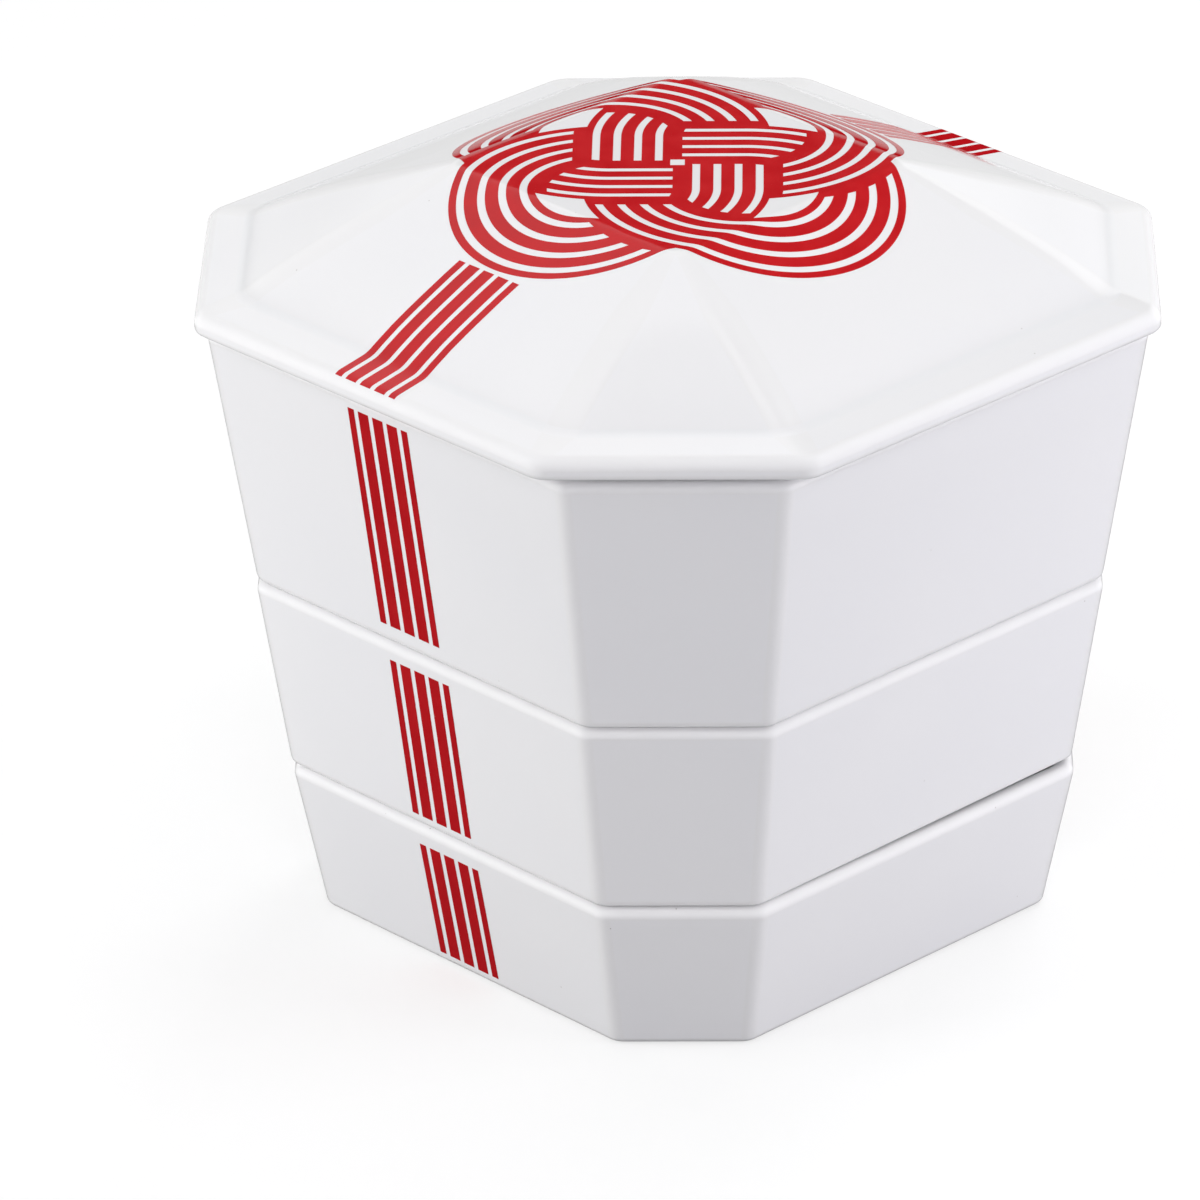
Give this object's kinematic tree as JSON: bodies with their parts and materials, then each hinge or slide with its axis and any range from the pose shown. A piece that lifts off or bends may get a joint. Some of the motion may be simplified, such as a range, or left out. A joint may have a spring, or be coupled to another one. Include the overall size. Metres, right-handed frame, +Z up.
{
  "type": "stacking food box",
  "caption": "Glazed porcelain jubako: leaning trays with cut corners that seat in one another under a hipped, overhanging lid with a red cord knot and bands.",
  "frame": {"origin": "on the table plane, under the middle of the foot ring", "axes": "+Z up; the sides are square to X and Y; the side with the red band faces -Y"},
  "size_m": [0.1908, 0.1908, 0.1759],
  "materials": {
    "white_glaze": "clear gloss glaze over white porcelain",
    "red_enamel": "gloss red printed enamel, fired on the glaze",
    "bare_porcelain": "matt, ground and unglazed"
  },
  "bodies": {
    "bottom_tier": {"bottom_tier": "white_glaze"},
    "middle_tier": {"middle_tier": "white_glaze"},
    "top_tier": {"top_tier": "white_glaze"},
    "lid": {"lid": "white_glaze"}
  },
  "joints": [
    {"name": "middle_tier_lift", "type": "slide", "parent": "bottom_tier", "child": "middle_tier", "axis": [0, 0, 1], "range_m": [0, 0.1]},
    {"name": "top_tier_lift", "type": "slide", "parent": "middle_tier", "child": "top_tier", "axis": [0, 0, 1], "range_m": [0, 0.12]},
    {"name": "lid_lift", "type": "slide", "parent": "top_tier", "child": "lid", "axis": [0, 0, 1], "range_m": [0, 0.12]}
  ]
}
